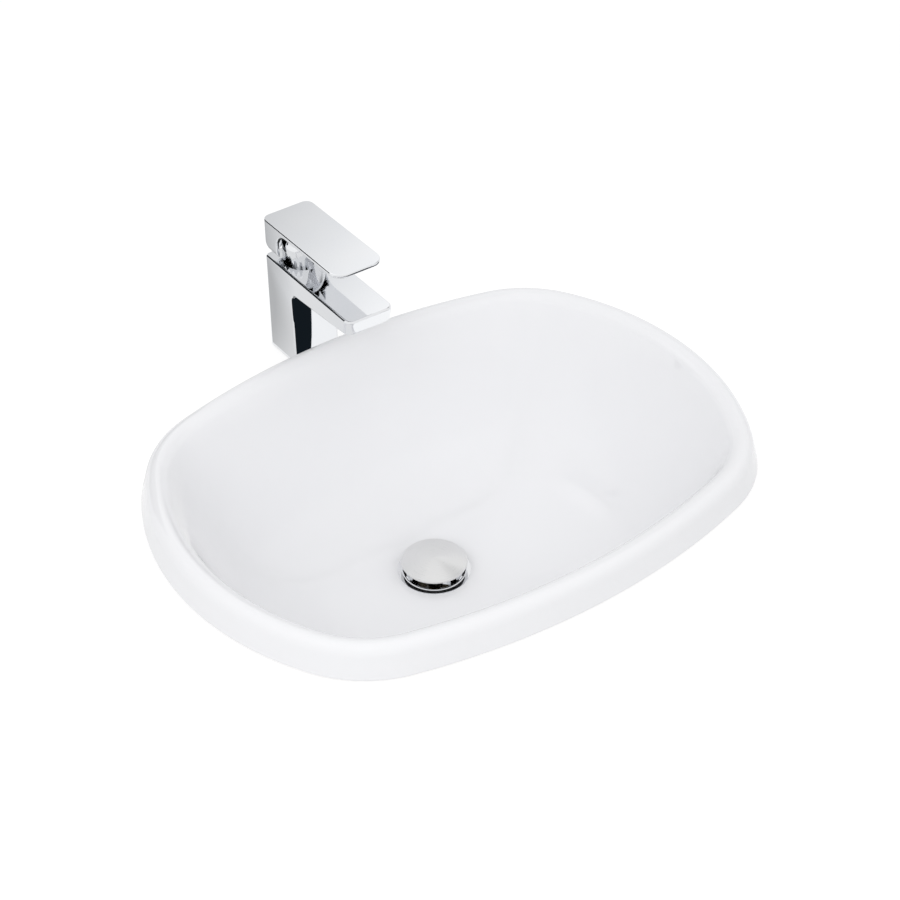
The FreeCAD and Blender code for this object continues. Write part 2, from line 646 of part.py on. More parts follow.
def dome_cover():
    """Chromed cover over the cartridge, round at the top so that the lever can tip over it."""
    outside_turn = acos(DOME_OPENING / DOME_RADIUS)
    inside_turn = acos(DOME_OPENING / DOME_BORE)

    def on_ball(radius, turn):
        return radius * cos(turn), DOME_Z + radius * sin(turn)

    cover = turned([
        (DOME_BORE, POCKET_FLOOR),
        (DOME_RADIUS, POCKET_FLOOR),
        (DOME_RADIUS, DOME_Z, *on_ball(DOME_RADIUS, outside_turn / 2)),
        on_ball(DOME_RADIUS, outside_turn),
        (*on_ball(DOME_BORE, inside_turn), *on_ball(DOME_BORE, inside_turn / 2)),
        (DOME_BORE, DOME_Z),
    ], axis_at(LEVER_Y))
    below = side_slab([
        (COLUMN_REAR, POCKET_FLOOR - DOME_RADIUS),
        (COLUMN_REAR, BODY_TOP),
        (SPOUT_TIP, BODY_TOP - SPOUT_FALL),
        (SPOUT_TIP, POCKET_FLOOR - DOME_RADIUS),
    ], COLUMN_WIDTH)
    return cover.cut(below)


def cartridge_nut():
    """Ring nut in the collar that presses on the cartridge's shoulder."""
    low = CARTRIDGE_SHOULDER
    bore = CARTRIDGE_NECK_RADIUS + SLIP
    return ring(COLLAR_BORE - THREAD, bore, low, low + COLLAR_NUT_THICKNESS, axis_at(LEVER_Y))


def cartridge_housing():
    """Stepped plastic case of the cartridge."""
    return turned([
        (CARTRIDGE_CAVITY, POCKET_FLOOR),
        (CARTRIDGE_RADIUS, POCKET_FLOOR),
        (CARTRIDGE_RADIUS, CARTRIDGE_SHOULDER),
        (CARTRIDGE_NECK_RADIUS, CARTRIDGE_SHOULDER),
        (CARTRIDGE_NECK_RADIUS, CARTRIDGE_TOP),
        (DRIVER_RADIUS + SLIP, CARTRIDGE_TOP),
        (DRIVER_RADIUS + SLIP, DRIVER_SHOULDER + SLIP),
        (CARTRIDGE_CAVITY, DRIVER_SHOULDER + SLIP),
    ], axis_at(LEVER_Y))


def ported_disc(radius, low, high):
    """Disc with a ring of water ports."""
    axis = axis_at(LEVER_Y)
    disc = cylinder(radius, low, high, axis)
    for k in range(PORT_COUNT):
        turn = 2 * pi * k / PORT_COUNT
        port = axis + V(PORT_CIRCLE * sin(turn), PORT_CIRCLE * cos(turn), 0)
        disc = disc.cut(cylinder(PORT_RADIUS, low, high, port))
    return disc


def moving_disc():
    """Polished disc that slides over the ports, with a mixing hollow in its underside."""
    axis = axis_at(LEVER_Y)
    disc = cylinder(MOVING_DISC_RADIUS, MOVING_DISC_BASE, CARRIER_BASE, axis)
    hollow = (MOVING_DISC_BASE + CARRIER_BASE) / 2
    return disc.cut(cylinder(MOVING_DISC_RADIUS / 2, MOVING_DISC_BASE, hollow, axis))


def disc_carrier():
    """Plastic carrier that couples the spindle's foot to the moving disc."""
    axis = axis_at(LEVER_Y)
    carrier = cylinder(MOVING_DISC_RADIUS, CARRIER_BASE, CARRIER_TOP, axis)
    return carrier.cut(cylinder(FOOT_RADIUS + SEAT, FOOT_Z - FOOT_RADIUS - SLIP, CARRIER_TOP, axis))


def cartridge_driver():
    """Turning sleeve that carries the spindle's pin."""
    axis = axis_at(LEVER_Y)
    sleeve = cylinder(DRIVER_RADIUS, DRIVER_BASE, CARTRIDGE_TOP, axis)
    flange = cylinder(CARTRIDGE_CAVITY - SLIP, DRIVER_BASE, DRIVER_SHOULDER, axis)
    slot_reach = DRIVER_RADIUS - PIN_RADIUS
    width = SPINDLE_SIDE + 2 * SLIP
    slot = block(width, LEVER_Y - slot_reach, LEVER_Y + slot_reach, DRIVER_BASE, CARTRIDGE_TOP)
    driver = sleeve.fuse(flange).removeSplitter().cut(slot)
    return driver.cut(pivot_bar(PIN_RADIUS + PIN_FIT, DRIVER_RADIUS))


def pivot_bar(radius, half_length):
    """Round bar across the cartridge through the tilt axis."""
    start = V(-half_length, LEVER_Y, PIVOT_Z)
    return Part.makeCylinder(radius, 2 * half_length, start, V(1, 0, 0))


def spindle():
    """Lever's shaft: square at the top, with a ball foot below the pin."""
    axis = axis_at(LEVER_Y)
    half = SPINDLE_SIDE / 2
    bar = block(SPINDLE_SIDE, LEVER_Y - half, LEVER_Y + half, PIVOT_Z - half, SPINDLE_TOP)
    neck = cylinder(SPINDLE_NECK_RADIUS, FOOT_Z, PIVOT_Z, axis)
    foot = Part.makeSphere(FOOT_RADIUS, axis + UP * FOOT_Z)
    shaft = bar.fuse(neck).fuse(foot).removeSplitter()
    return shaft.cut(pivot_bar(PIN_RADIUS + PIN_FIT, half))


def lever():
    """Flat lever with a heel behind the dome and a boss on the spindle."""
    axis = axis_at(LEVER_Y)
    front = COLUMN_REAR - LEVER_LENGTH
    heel_front = COLUMN_REAR - HEEL_DEPTH
    body = side_slab([
        (COLUMN_REAR, HEEL_BOTTOM),
        (COLUMN_REAR, LEVER_TOP),
        (front, LEVER_TOP),
        (front, LEVER_TOP - LEVER_TIP),
        (heel_front, LEVER_UNDER),
        (heel_front, HEEL_BOTTOM),
    ], LEVER_WIDTH)
    body = body.makeFillet(HEEL_ARCH, [edge_along_x(body, heel_front, LEVER_UNDER)])
    body = body.makeFillet(HEEL_REAR_ROUND, [edge_along_x(body, COLUMN_REAR, HEEL_BOTTOM)])
    body = round_uprights(body, front, LEVER_FRONT_ROUND)
    body = round_uprights(body, COLUMN_REAR, LEVER_REAR_ROUND)
    body = body.makeFillet(LEVER_EDGE_ROUND, sharp_edges(body))
    body = body.cut(cylinder(DOME_RADIUS + HEEL_SWING_GAP, HEEL_BOTTOM, LEVER_UNDER, axis))
    boss_low = LEVER_UNDER - BOSS_LENGTH
    body = body.fuse(cylinder(BOSS_RADIUS, boss_low, LEVER_UNDER + SEAT, axis)).removeSplitter()
    half = SPINDLE_SIDE / 2 + THREAD
    body = body.cut(block(2 * half, LEVER_Y - half, LEVER_Y + half, boss_low, SPINDLE_TOP))
    return body.cut(grub_bar(GRUB_RADIUS + THREAD, BOSS_RADIUS))


def grub_bar(radius, length):
    """Round bar in the front of the boss, square to the spindle's face."""
    start = V(0, LEVER_Y - SPINDLE_SIDE / 2, LEVER_UNDER - BOSS_LENGTH / 2)
    return Part.makeCylinder(radius, length, start, V(0, -1, 0))


def grub_screw():
    """Socket screw that locks the lever on its spindle."""
    screw = grub_bar(GRUB_RADIUS, GRUB_LENGTH)
    socket = hexagon(GRUB_RADIUS, 0, GRUB_LENGTH / 2, V(0, 0, 0))
    socket.rotate(V(0, 0, 0), V(1, 0, 0), -90)
    mouth = V(0, LEVER_Y - SPINDLE_SIDE / 2 - GRUB_LENGTH, LEVER_UNDER - BOSS_LENGTH / 2)
    socket.translate(mouth)
    return screw.cut(socket)


def all_nodes():
    """Every piece of the basin, its waste and its tap by name."""
    nodes = {
        "ceramic_basin": ceramic_basin(),
        "rim_seal": rim_seal(),
        "waste_body": waste_body(),
        "waste_spider": waste_spider(),
        "click_sleeve": click_sleeve(),
        "return_spring": return_spring(),
        "plug_cap": plug_cap(),
        "plug_seal": plug_seal(),
        "plug_stem": plug_stem(),
        "tap_body": tap_body(),
        "base_gasket": base_gasket(),
        "tail_block": tail_block(),
        "aerator_housing": aerator_housing(),
        "aerator_insert": aerator_insert(),
        "aerator_washer": aerator_washer(),
        "dome_cover": dome_cover(),
        "cartridge_nut": cartridge_nut(),
        "cartridge_housing": cartridge_housing(),
        "cartridge_seal": ported_disc(CARTRIDGE_CAVITY - SLIP, POCKET_FLOOR, FIXED_DISC_BASE),
        "fixed_disc": ported_disc(CARTRIDGE_CAVITY - SLIP, FIXED_DISC_BASE, MOVING_DISC_BASE),
        "moving_disc": moving_disc(),
        "disc_carrier": disc_carrier(),
        "cartridge_driver": cartridge_driver(),
        "spindle_pin": pivot_bar(PIN_RADIUS, DRIVER_RADIUS - PIN_FIT),
        "spindle": spindle(),
        "lever": lever(),
        "grub_screw": grub_screw(),
    }
    nodes.update(waste_seals())
    nodes.update(tap_fixings())
    return nodes


os.makedirs("parts", exist_ok=True)
for name, shape in all_nodes().items():
    shape.exportStep(f"parts/{name}.step")
    print(f"{name}: {len(shape.Solids)} solid, {shape.Volume / 1000:.2f} cm3, valid {shape.isValid()}")
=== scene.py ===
# %% [markdown]
# # A white inset washbasin with a pop-up waste and a lever mixer
# The basin hangs in a counter by its rim, so only the rim, the bowl, the drain and the mixer show from above.
# The solid model is already packed and gives every piece its place. Here the pieces that the eye meets are
# modelled again with clean surfaces, because glaze and chrome show every facet, and all of them get a finish.

# %% Load the packed model
import json
from math import acos, atan2, ceil, cos, degrees, pi, radians, sin, sqrt, tan

import bmesh
import bpy
from mathutils import Matrix, Vector


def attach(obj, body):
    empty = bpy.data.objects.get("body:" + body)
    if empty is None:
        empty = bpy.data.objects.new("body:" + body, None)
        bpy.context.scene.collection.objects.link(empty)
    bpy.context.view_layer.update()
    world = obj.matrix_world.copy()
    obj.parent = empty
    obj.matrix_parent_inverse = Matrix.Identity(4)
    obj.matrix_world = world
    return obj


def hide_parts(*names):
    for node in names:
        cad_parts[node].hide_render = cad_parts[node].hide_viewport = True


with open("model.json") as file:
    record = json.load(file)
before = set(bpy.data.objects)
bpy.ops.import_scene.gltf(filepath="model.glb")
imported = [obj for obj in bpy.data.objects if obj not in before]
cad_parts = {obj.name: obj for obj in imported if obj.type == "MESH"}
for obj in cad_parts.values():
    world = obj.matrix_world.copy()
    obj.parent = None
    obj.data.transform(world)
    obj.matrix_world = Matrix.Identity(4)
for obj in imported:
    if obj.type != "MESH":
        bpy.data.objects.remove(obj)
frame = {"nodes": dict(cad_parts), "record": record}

scene = bpy.context.scene
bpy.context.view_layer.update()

# %% [markdown]
# ## Drawing a section
# Nearly every piece here starts as a section: a few corners joined by straight edges. A maker would draw the
# corners and give each a radius. A vertex bevel does the same to a chain of edges: its offset is the length
# that the round takes from each side, which is the radius times the tangent of half the turn.
# Sections are drawn in millimetres and are scaled to metres when the piece is finished.

# %% Sections with rounded corners
MM = 0.001
DEGREES_PER_SEGMENT = 6
MERGE = 0.01


def section(bm, corners, place, closed=False):
    """Chain of edges through (across, level, round) corners, each corner rounded to its radius."""
    points = [Vector((across, level)) for across, level, *rest in corners]
    verts = [bm.verts.new(place(across, level)) for across, level, *rest in corners]
    last = len(verts) if closed else len(verts) - 1
    for k in range(last):
        bm.edges.new((verts[k], verts[(k + 1) % len(verts)]))
    for k, (across, level, *rest) in enumerate(corners):
        if not rest:
            continue
        before = points[k] - points[k - 1]
        after = points[(k + 1) % len(points)] - points[k]
        turn = before.angle(after)
        bmesh.ops.bevel(
            bm, geom=[verts[k]], offset=rest[0] * tan(turn / 2), offset_type="OFFSET",
            segments=max(3, ceil(degrees(turn) / DEGREES_PER_SEGMENT)), profile=0.5,
            affect="VERTICES", material=-1)


def finish_piece(name, bm, body, slot, *nodes):
    """Scale to metres, merge, turn faces outward. The piece rides on its body and stands for its nodes."""
    bmesh.ops.scale(bm, vec=(MM, MM, MM), verts=bm.verts)
    bmesh.ops.remove_doubles(bm, verts=bm.verts, dist=1e-6)
    bmesh.ops.dissolve_degenerate(bm, edges=bm.edges, dist=1e-7)
    bmesh.ops.recalc_face_normals(bm, faces=bm.faces)
    mesh = bpy.data.meshes.new(name)
    bm.to_mesh(mesh)
    bm.free()
    mesh.shade_smooth()
    piece = bpy.data.objects.new(name, mesh)
    scene.collection.objects.link(piece)
    weighted = piece.modifiers.new("Even shading", "WEIGHTED_NORMAL")
    weighted.keep_sharp = True
    if body:
        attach(piece, body)
    if nodes:
        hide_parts(*nodes)
    print(f"{name}: {len(mesh.polygons)} faces")
    return piece


# %% [markdown]
# ## The rim's outline
# Seen from above the rim is eight arcs that flow into each other: two long sides, two short sides and four
# corners. Because neighbouring arcs are tangent, a section can be carried round them by three spins, each
# about the centre of its own arc, and a quarter of the basin is then mirrored twice. A loft or a scaled
# copy would not keep the rim's width even, and the spins do.

# %% Arcs of the outline
HALF_LENGTH, HALF_WIDTH = 300.0, 226.0
LONG_RADIUS, SHORT_RADIUS, CORNER_RADIUS = 695.0, 279.0, 124.0

short_centre = Vector((HALF_LENGTH - SHORT_RADIUS, 0, 0))
long_centre = Vector((0, HALF_WIDTH - LONG_RADIUS, 0))
between = short_centre - long_centre
to_long, to_short = LONG_RADIUS - CORNER_RADIUS, SHORT_RADIUS - CORNER_RADIUS
along = (to_long ** 2 - to_short ** 2 + between.length_squared) / (2 * between.length)
aside = sqrt(to_long ** 2 - along ** 2)
between.normalize()
corner_centre = long_centre + between * along + Vector((between.y, -between.x, 0)) * aside


def heading(centre):
    """Direction from an arc's centre to the corner's centre, as an angle from the X axis."""
    return atan2(corner_centre.y - centre.y, corner_centre.x - centre.x)


RIM_ARCS = [
    (short_centre, heading(short_centre), 22),
    (corner_centre, heading(long_centre) - heading(short_centre), 18),
    (long_centre, pi / 2 - heading(long_centre), 26),
]
RIM_STEPS = 4 * sum(steps for _, _, steps in RIM_ARCS)


def at_short_end(inset, level):
    """Where a section's corner stands before it is carried round: on the X axis, in from the outline."""
    return (HALF_LENGTH - inset, 0, level)


def carry_round(bm):
    """Spin everything in the mesh along a quarter of the outline, then mirror it to all four quarters."""
    front = bm.verts[:] + bm.edges[:]
    for centre, angle, steps in RIM_ARCS:
        spun = bmesh.ops.spin(bm, geom=front, cent=centre, axis=(0, 0, 1), dvec=(0, 0, 0),
                              angle=angle, steps=steps, use_merge=False, use_duplicate=False)
        front = spun["geom_last"]
    for axis in ("X", "Y"):
        everything = bm.verts[:] + bm.edges[:] + bm.faces[:]
        bmesh.ops.mirror(bm, geom=everything, matrix=Matrix.Identity(4), merge_dist=MERGE, axis=axis)
    bmesh.ops.remove_doubles(bm, verts=bm.verts, dist=MERGE)


print("corner arcs stand about", tuple(round(c, 1) for c in corner_centre), "and turn",
      round(degrees(RIM_ARCS[1][1]), 1), "degrees")

# %% [markdown]
# ## The china
# The basin is one casting of vitreous china: a soft rim, a bowl whose wall leans in and sweeps into a dished
# floor, and a boss under the drain. Its section is drawn once, from the foot of the wall over the crest to
# the underside. The drain is a second section, turned about the drain's own axis, with as many steps as the
# rim has, so that each loop can be bridged to its partner without triangles or poles. The bridge is cut into
# rows, and a cubic curve dishes the floor: it keeps the wall's slope at one end and the drain's at the other.
# Vertex smoothing then takes out the last crease between wall and floor. A glazed casting has none.

# %% Section of the rim and the bowl
RIM_BASE, UNDERSIDE = 1.5, -154.5
WALL_FOOT, FOOT_SLOPE = -127.0, radians(27)
DRAIN_Y, DRAIN_FLOOR = 31.0, -146.5
FLOOR_INSET = 110.5

china = bmesh.new()
section(china, [
    (FLOOR_INSET, WALL_FOOT),
    (71.9, -107.35, 98),
    (36, 18.2, 54),
    (10.95, 43.25, 12),
    (0, RIM_BASE, 1.2),
    (19.9, RIM_BASE, 3),
    (34, UNDERSIDE, 82),
    (FLOOR_INSET, UNDERSIDE),
], at_short_end)
carry_round(china)
print("rim and bowl:", len(china.faces), "faces")

# %% Drain and boss
DRAIN = Vector((0, DRAIN_Y, 0))


def turn_section(bm, corners, centre, steps, closed=True):
    """Turn a section of (radius, level, round) corners into a solid about an upright axis."""
    section(bm, corners, lambda radius, level: centre + Vector((radius, 0, level)), closed)
    bmesh.ops.spin(bm, geom=bm.verts[:] + bm.edges[:], cent=centre, axis=(0, 0, 1), dvec=(0, 0, 0),
                   angle=2 * pi, steps=steps, use_merge=True, use_duplicate=False)


RECESS_RADIUS, DISH_RADIUS, DISH_RISE = 37.0, 46.0, 0.35
DISH_EDGE = DRAIN_FLOOR + DISH_RISE
DISH_SLOPE = DISH_RISE / (DISH_RADIUS - RECESS_RADIUS)
THROAT_RADIUS, BOSS_RADIUS, BOSS_BOTTOM = 22.5, 40.0, DRAIN_FLOOR - 22.5

drain = bmesh.new()
turn_section(drain, [
    (DISH_RADIUS, DISH_EDGE),
    (RECESS_RADIUS, DRAIN_FLOOR, 0.5),
    (RECESS_RADIUS, DRAIN_FLOOR - 2.5, 1.0),
    (30.2, DRAIN_FLOOR - 2.5, 0.8),
    (THROAT_RADIUS, DRAIN_FLOOR - 13.2, 0.8),
    (THROAT_RADIUS, BOSS_BOTTOM, 0.8),
    (BOSS_RADIUS, BOSS_BOTTOM, 2.5),
    (BOSS_RADIUS, UNDERSIDE, 4),
    (52, UNDERSIDE),
], DRAIN, RIM_STEPS, closed=False)
drain_mesh = bpy.data.meshes.new("drain")
drain.to_mesh(drain_mesh)
drain.free()
china.from_mesh(drain_mesh)
bpy.data.meshes.remove(drain_mesh)
bmesh.ops.remove_doubles(china, verts=china.verts, dist=MERGE)
print("with the drain:", len(china.faces), "faces")

# %% Floor of the bowl
FLOOR_ROWS = 16
SOFT_ROWS, SOFT_PASSES = 14, 80
LEVEL_MATCH = 0.001


def open_loops(bm, *levels):
    """Boundary edges that lie level at one of these heights."""
    return [edge for edge in bm.edges if edge.is_boundary
            and any(all(abs(vert.co.z - level) < LEVEL_MATCH for vert in edge.verts) for level in levels)]


def from_dish(vert):
    """How far out from the edge of the drain's dish a point lies."""
    return (vert.co - DRAIN).to_2d().length - DISH_RADIUS


bmesh.ops.bridge_loops(china, edges=open_loops(china, UNDERSIDE))
spokes = bmesh.ops.bridge_loops(china, edges=open_loops(china, WALL_FOOT, DISH_EDGE))["edges"]
rows = bmesh.ops.subdivide_edges(china, edges=spokes, cuts=FLOOR_ROWS, use_grid_fill=True)["geom_inner"]
floor = [g for g in rows if isinstance(g, bmesh.types.BMVert)]
for vert in floor:
    share = (vert.co.z - WALL_FOOT) / (DISH_EDGE - WALL_FOOT)
    reach = from_dish(vert) / (1 - share)
    keep, far = (1 - share) ** 2, share ** 2
    ends = WALL_FOOT * keep * (1 + 2 * share) + DISH_EDGE * far * (3 - 2 * share)
    slopes = DISH_SLOPE * far * (1 - share) - tan(FOOT_SLOPE) * keep * share
    vert.co.z = ends + reach * slopes

bowl = set(floor)
for _ in range(SOFT_ROWS):
    bowl.update([edge.other_vert(vert) for vert in bowl for edge in vert.link_edges])
bowl = [vert for vert in bowl if from_dish(vert) > 0.1]
for _ in range(SOFT_PASSES):
    bmesh.ops.smooth_vert(china, verts=bowl, factor=0.5, use_axis_x=True, use_axis_y=True, use_axis_z=True)
print("edges left open in the china:", sum(edge.is_boundary for edge in china.edges))
basin = finish_piece("basin_china", china, "basin", "china", "ceramic_basin")

# %% [markdown]
# ## The pop-up waste
# A turned brass flange with a cup and a threaded tail, a domed cap with a soft rubber ring, all round about
# the drain's axis, so each is a section and one full spin. The tail's thread is a ridge: a small trapezium is
# spun many turns while it climbs, which is what the spin's dvec is for.

# %% Flange and thread
TAIL_BOTTOM, TAIL_THREAD_TOP = -222.5, -192.0
TAIL_THREAD = 20.95
TAIL_PITCH, TAIL_DEPTH = 2.309, 1.2
TAIL_BORE, FLANGE_RADIUS = 17.5, 37.3
FINE, THREAD_STEPS = 144, 72

flange = bmesh.new()
turn_section(flange, [
    (TAIL_BORE, TAIL_BOTTOM, 0.5),
    (TAIL_THREAD - TAIL_DEPTH, TAIL_BOTTOM, 0.8),
    (TAIL_THREAD - TAIL_DEPTH, TAIL_THREAD_TOP + 2, 0.4),
    (TAIL_THREAD, TAIL_THREAD_TOP + 2, 0.3),
    (TAIL_THREAD, DRAIN_FLOOR - 14, 2),
    (30.65, DRAIN_FLOOR - 0.5, 1.2),
    (36, DRAIN_FLOOR - 0.5, 0.4),
    (FLANGE_RADIUS, DRAIN_FLOOR, 0.1),
    (FLANGE_RADIUS, DRAIN_FLOOR + 0.8, 0.2),
    (32.8, DRAIN_FLOOR + 0.7, 0.3),
    (32.2, DRAIN_FLOOR + 1.6, 0.4),
    (31.3, DRAIN_FLOOR + 1.4, 0.4),
    (29.2, DRAIN_FLOOR + 0.2, 0.6),
    (TAIL_BORE, DRAIN_FLOOR - 14, 1.5),
], DRAIN, FINE)
waste_flange = finish_piece("waste_flange", flange, "basin", "chrome", "waste_body")


def thread_ridge(bm, centre, crest, depth, pitch, low, high, steps):
    """Closed ridge of a screw thread about an upright axis: its root reaches into the bar it stands on."""
    root, half_root, half_crest = crest - 1.3 * depth, pitch * 0.44, pitch * 0.08
    section(bm, [(root, low), (root, low + 2 * half_root), (crest, low + half_root + half_crest),
                 (crest, low + half_root - half_crest)],
            lambda radius, level: centre + Vector((radius, 0, level)), closed=True)
    start = bm.edges[:]
    turns = (high - low - 2 * half_root) / pitch
    total = int(turns * steps)
    spun = bmesh.ops.spin(bm, geom=bm.verts[:] + bm.edges[:], cent=centre, axis=(0, 0, 1),
                          dvec=(0, 0, pitch / steps), angle=2 * pi * total / steps, steps=total,
                          use_merge=False, use_duplicate=False)
    bmesh.ops.contextual_create(bm, geom=start)
    bmesh.ops.contextual_create(bm, geom=[g for g in spun["geom_last"] if isinstance(g, bmesh.types.BMEdge)])
    return turns


tail_thread = bmesh.new()
turns = thread_ridge(tail_thread, DRAIN, TAIL_THREAD, TAIL_DEPTH, TAIL_PITCH, TAIL_BOTTOM + 1,
                     TAIL_THREAD_TOP, THREAD_STEPS)
waste_thread = finish_piece("waste_thread", tail_thread, "basin", "chrome")
print(f"the tail's thread climbs {turns:.1f} turns")

# %% Cap and its rubber ring
CAP_TOP, CAP_UNDER = -130.5, -137.5
CAP_BALL = 145.0
HUB_RADIUS, HUB_BORE, HUB_LENGTH = 9.0, 4.1, 7.0

cap = bmesh.new()
turn_section(cap, [
    (0, CAP_TOP),
    (16, CAP_TOP, CAP_BALL),
    (33.3, CAP_TOP - 3.75, 0.9),
    (33.8, CAP_UNDER + 1.9, 0.5),
    (31.2, CAP_UNDER, 0.5),
    (HUB_RADIUS, CAP_UNDER, 0.8),
    (HUB_RADIUS, CAP_UNDER - HUB_LENGTH, 0.8),
    (HUB_BORE, CAP_UNDER - HUB_LENGTH, 0.4),
    (HUB_BORE, CAP_UNDER),
    (0, CAP_UNDER),
], DRAIN, FINE, closed=False)
plug_cap = finish_piece("cap_brushed", cap, "plug", "chrome", "plug_cap")

ring = bmesh.new()
turn_section(ring, [
    (20, CAP_UNDER - 4, 0.6),
    (25.7, CAP_UNDER - 4, 1.0),
    (27.6, CAP_UNDER - 1.4, 0.5),
    (28.6, CAP_UNDER - 0.6, 0.4),
    (30.8, CAP_UNDER - 0.4, 0.1),
    (30.8, CAP_UNDER),
    (20, CAP_UNDER, 0.3),
], DRAIN, FINE)
plug_ring = finish_piece("plug_ring", ring, "plug", "black_rubber", "plug_seal")

# %% [markdown]
# ## The mixer
# The column and the spout are one chromed brass casting. Its side view is drawn, the arch under the spout is
# rounded, the outline is extruded across, and then the upright corners and last the remaining sharp edges are
# bevelled. That order matters: a small round can run round a large one, and not the other way.

# %% Slabs drawn from the side
def slab(bm, corners, width):
    """Slab of a side view of (along Y, level, round) corners, centred on the basin's middle line."""
    section(bm, corners, lambda along, level: (-width / 2, along, level), closed=True)
    face = bmesh.ops.contextual_create(bm, geom=bm.edges[:])["faces"]
    grown = bmesh.ops.extrude_face_region(bm, geom=face)["geom"]
    bmesh.ops.translate(bm, vec=(width, 0, 0), verts=[g for g in grown if isinstance(g, bmesh.types.BMVert)])
    bmesh.ops.recalc_face_normals(bm, faces=bm.faces)


def round_edges(bm, edges, radius, segments):
    bmesh.ops.bevel(bm, geom=edges, offset=radius, offset_type="OFFSET", segments=segments, profile=0.5,
                    affect="EDGES", clamp_overlap=True, material=-1)


def uprights(bm, along, half_width):
    """The two upright edges that a slab has at a distance along Y."""
    picked = []
    for edge in bm.edges:
        middle = (edge.verts[0].co + edge.verts[1].co) / 2
        rise = abs(edge.verts[0].co.z - edge.verts[1].co.z)
        run = abs(edge.verts[0].co.y - edge.verts[1].co.y)
        same_side = abs(edge.verts[0].co.x - edge.verts[1].co.x) < 0.1
        in_place = abs(abs(middle.x) - half_width) < 0.1 and abs(middle.y - along) < 0.3
        if same_side and rise > run and in_place:
            picked.append(edge)
    return picked


def sharp_edges(bm, above):
    return [edge for edge in bm.edges
            if len(edge.link_faces) == 2 and edge.calc_face_angle() > radians(20)
            and max(vert.co.z for vert in edge.verts) > above]


def drill(piece, cutters):
    """Cut upright holes, given as (y, radius, low, high) in millimetres, out of a finished piece."""
    tool = bmesh.new()
    for along, radius, low, high in cutters:
        made = bmesh.ops.create_circle(tool, segments=96, radius=radius, cap_ends=True,
                                       matrix=Matrix.Translation((0, along, low)))
        faces = list({face for vert in made["verts"] for face in vert.link_faces})
        grown = bmesh.ops.extrude_face_region(tool, geom=faces)["geom"]
        tops = [g for g in grown if isinstance(g, bmesh.types.BMVert)]
        bmesh.ops.translate(tool, vec=(0, 0, high - low), verts=tops)
    bmesh.ops.scale(tool, vec=(MM, MM, MM), verts=tool.verts)
    bmesh.ops.recalc_face_normals(tool, faces=tool.faces)
    mesh = bpy.data.meshes.new("drill")
    tool.to_mesh(mesh)
    tool.free()
    bit = bpy.data.objects.new("drill", mesh)
    scene.collection.objects.link(bit)
    cut = piece.modifiers.new("Holes", "BOOLEAN")
    cut.object, cut.operation, cut.solver = bit, "DIFFERENCE", "EXACT"
    piece.modifiers.move(len(piece.modifiers) - 1, 0)
    piece.modifiers["Even shading"].show_viewport = False
    bpy.context.view_layer.update()
    drilled = bpy.data.meshes.new_from_object(piece.evaluated_get(bpy.context.evaluated_depsgraph_get()))
    piece.modifiers.remove(cut)
    piece.modifiers["Even shading"].show_viewport = True
    old = piece.data
    name = old.name
    piece.data = drilled
    bpy.data.meshes.remove(old)
    drilled.name = name
    rest = bmesh.new()
    rest.from_mesh(drilled)
    bmesh.ops.dissolve_degenerate(rest, edges=rest.edges, dist=2e-5)
    bmesh.ops.recalc_face_normals(rest, faces=rest.faces)
    rest.to_mesh(drilled)
    rest.free()
    drilled.shade_smooth()
    bpy.data.objects.remove(bit)
    bpy.data.meshes.remove(mesh)


# %% Column and spout
TAP_Y, LEVER_Y = 260.0, 253.0
COLUMN_FRONT, COLUMN_REAR = 236.0, 284.0
BODY_WIDTH, BODY_BASE, BODY_TOP = 54.0, 1.5, 112.0
SPOUT_TIP, SPOUT_FALL = 132.0, 1.0
AERATOR_Y = 154.0

body = bmesh.new()
slab(body, [
    (COLUMN_REAR, BODY_BASE),
    (COLUMN_REAR, BODY_TOP),
    (SPOUT_TIP, BODY_TOP - SPOUT_FALL),
    (SPOUT_TIP + 2, 94.5),
    (COLUMN_FRONT, 87.7, 8),
    (COLUMN_FRONT, BODY_BASE),
], BODY_WIDTH)
round_edges(body, uprights(body, SPOUT_TIP + 1, BODY_WIDTH / 2), 9, 10)
round_edges(body, uprights(body, COLUMN_REAR, BODY_WIDTH / 2), 5, 8)
round_edges(body, sharp_edges(body, BODY_BASE + 1), 2.4, 5)
mixer_body = finish_piece("mixer_body", body, "basin", "chrome", "tap_body")
drill(mixer_body, [(TAP_Y, 16.3, 0, 24.8), (LEVER_Y, 16.5, 104, 120), (AERATOR_Y, 11.6, 70, 104.5)])

# %% Dome over the cartridge
DOME_RADIUS, DOME_BORE, DOME_OPENING = 21.0, 19.2, 14.6
BALL_LEVEL = 131.5


def ball_corner(radius):
    """Corner whose round is the ball from its equator up to the opening."""
    return (radius, BALL_LEVEL + radius * tan(acos(DOME_OPENING / radius) / 2), radius * 0.97)


def ball_end(radius):
    return BALL_LEVEL + sqrt(radius ** 2 - DOME_OPENING ** 2)


dome = bmesh.new()
turn_section(dome, [
    (DOME_BORE, 100),
    (DOME_RADIUS, 100),
    ball_corner(DOME_RADIUS),
    (DOME_OPENING, ball_end(DOME_RADIUS)),
    (DOME_OPENING, ball_end(DOME_BORE)),
    ball_corner(DOME_BORE),
], Vector((0, LEVER_Y, 0)), 96)
spout_top = Vector((0, -SPOUT_FALL, COLUMN_REAR - SPOUT_TIP)).normalized()
bmesh.ops.bisect_plane(dome, geom=dome.verts[:] + dome.edges[:] + dome.faces[:],
                       plane_co=(0, COLUMN_REAR, BODY_TOP), plane_no=spout_top, clear_inner=True)
bmesh.ops.bridge_loops(dome, edges=[edge for edge in dome.edges if edge.is_boundary])
mixer_dome = finish_piece("mixer_dome", dome, "basin", "chrome", "dome_cover")

